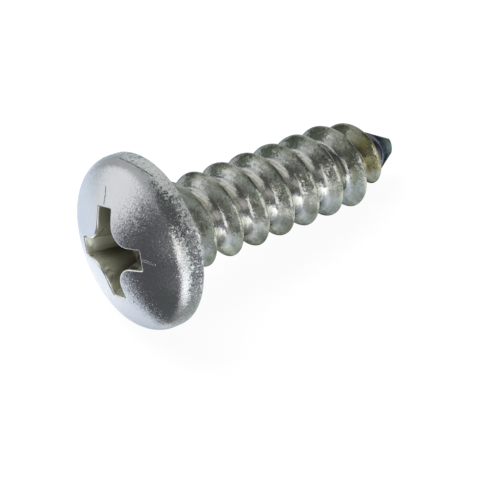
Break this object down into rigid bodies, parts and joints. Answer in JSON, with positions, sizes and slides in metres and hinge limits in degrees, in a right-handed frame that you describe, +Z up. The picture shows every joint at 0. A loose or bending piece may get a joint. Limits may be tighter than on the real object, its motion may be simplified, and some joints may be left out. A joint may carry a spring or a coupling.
{
  "type": "self-tapping screw",
  "caption": "Self-tapping sheet metal screw with a round pan head, a cross recess and a coarse thread up to the head.",
  "frame": {"origin": "middle of the bounding box on the table the screw lies on", "axes": "+X along the screw from head to tip as it lies, +Y across it, +Z up. The screw's own axis lies in the XZ plane and dips about 9 degrees towards the tip."},
  "size_m": [0.0141, 0.0066, 0.0066],
  "materials": {
    "steel": "tumbled satin stainless steel"
  },
  "bodies": {
    "root": {"screw": "steel"}
  },
  "joints": []
}
